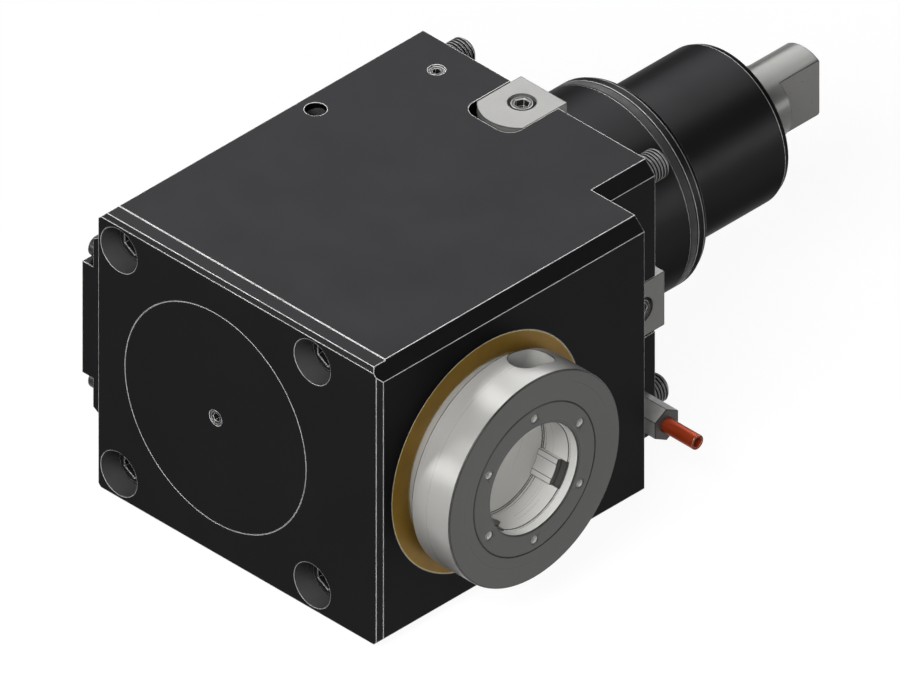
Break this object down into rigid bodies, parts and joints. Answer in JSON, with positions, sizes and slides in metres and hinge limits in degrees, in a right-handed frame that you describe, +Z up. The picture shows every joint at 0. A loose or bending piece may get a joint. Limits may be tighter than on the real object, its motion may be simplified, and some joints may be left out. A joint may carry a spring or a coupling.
{
  "type": "radial driven tool holder",
  "caption": "Radial driven tool holder for a lathe turret: square block and flange, stepped round shank with drive tang, cross spindle with tool socket, and a bevel gear pair inside.",
  "frame": {"origin": "centre of the mounting screw pattern, on the shank axis in the mounting face", "axes": "+Y along the shank axis into the turret, +X the way the tool points, +Z up"},
  "size_m": [0.19, 0.3047, 0.125],
  "materials": {
    "black_steel": "black oxide, satin",
    "black_screw": "black oxide screw steel",
    "ground_steel": "turned and ground",
    "gear_steel": "hardened, ground flanks",
    "nut_steel": "dark turned steel",
    "bearing_steel": "polished bearing steel",
    "bearing_cage": "machined brass",
    "bronze": "dark bronze, turned",
    "copper": "bright copper",
    "plated_steel": "zinc plated",
    "rubber": "nitrile rubber"
  },
  "bodies": {
    "housing": {"housing": "black_steel", "front_cap": "black_steel", "rear_cover": "black_steel", "front_cap_seal": "rubber", "rear_cover_seal": "rubber", "boss_seal": "rubber", "coolant_port_seal": "rubber", "shaft_seal": "rubber", "spindle_seal": "rubber", "front_cap_screw": "black_screw", "top_plug_screw": "black_screw", "mounting_screws": "black_screw", "rear_cover_screws": "black_screw", "key_screws": "black_screw", "gland_ring": "bronze", "coolant_tube": "copper", "coolant_washer": "copper", "coolant_fitting": "plated_steel", "top_locating_key": "ground_steel", "right_locating_key": "ground_steel", "bottom_locating_key": "ground_steel", "left_locating_key": "ground_steel", "shaft_bearing_ring_nut": "nut_steel", "shank_bore_circlip": "nut_steel", "shaft_front_outer_rings": "bearing_steel", "shaft_rear_outer_rings": "bearing_steel", "spindle_front_outer_rings": "bearing_steel", "spindle_rear_outer_rings": "bearing_steel"},
    "spindle": {"spindle": "ground_steel", "spindle_gear": "gear_steel", "gear_key": "gear_steel", "spindle_spacer_sleeve": "gear_steel", "spindle_face_ring": "ground_steel", "drive_dogs": "ground_steel", "tool_clamp_screw": "black_screw", "spindle_front_inner_rings": "bearing_steel", "spindle_ring_nut": "nut_steel", "spindle_rear_inner_rings": "bearing_steel", "spindle_lock_washer": "nut_steel", "spindle_lock_nut": "nut_steel"},
    "drive_shaft": {"drive_shaft": "ground_steel", "drive_pinion": "gear_steel", "pinion_key": "gear_steel", "pinion_end_disc": "gear_steel", "pinion_screw": "black_screw", "shaft_front_inner_rings": "bearing_steel", "shaft_lock_washer": "nut_steel", "shaft_lock_nut": "nut_steel", "shaft_rear_inner_rings": "bearing_steel", "shaft_circlip": "nut_steel"},
    "shaft_front_cage": {"shaft_front_cages": "bearing_cage", "shaft_front_rollers": "bearing_steel"},
    "shaft_rear_cage": {"shaft_rear_cages": "bearing_cage", "shaft_rear_rollers": "bearing_steel"},
    "spindle_front_cage": {"spindle_front_cages": "bearing_cage", "spindle_front_rollers": "bearing_steel"},
    "spindle_rear_cage": {"spindle_rear_cages": "bearing_cage", "spindle_rear_rollers": "bearing_steel"}
  },
  "joints": [
    {"name": "spindle_spin", "type": "hinge", "parent": "housing", "child": "spindle", "pos_m": [0, -0.11, 0], "axis": [1, 0, 0], "continuous": true},
    {"name": "drive_shaft_spin", "type": "hinge", "parent": "housing", "child": "drive_shaft", "pos_m": [0, 0, 0], "axis": [0, 1, 0], "continuous": true},
    {"name": "shaft_front_cage_spin", "type": "hinge", "parent": "housing", "child": "shaft_front_cage", "pos_m": [0, 0, 0], "axis": [0, 1, 0], "continuous": true},
    {"name": "shaft_rear_cage_spin", "type": "hinge", "parent": "housing", "child": "shaft_rear_cage", "pos_m": [0, 0, 0], "axis": [0, 1, 0], "continuous": true},
    {"name": "spindle_front_cage_spin", "type": "hinge", "parent": "housing", "child": "spindle_front_cage", "pos_m": [0, -0.11, 0], "axis": [1, 0, 0], "continuous": true},
    {"name": "spindle_rear_cage_spin", "type": "hinge", "parent": "housing", "child": "spindle_rear_cage", "pos_m": [0, -0.11, 0], "axis": [1, 0, 0], "continuous": true}
  ],
  "couplings": [
    {"joint": "drive_shaft_spin", "follows": "spindle_spin", "ratio": -1},
    {"joint": "shaft_front_cage_spin", "follows": "spindle_spin", "ratio": -0.4269},
    {"joint": "shaft_rear_cage_spin", "follows": "spindle_spin", "ratio": -0.4294},
    {"joint": "spindle_front_cage_spin", "follows": "spindle_spin", "ratio": 0.4712},
    {"joint": "spindle_rear_cage_spin", "follows": "spindle_spin", "ratio": 0.4278}
  ]
}
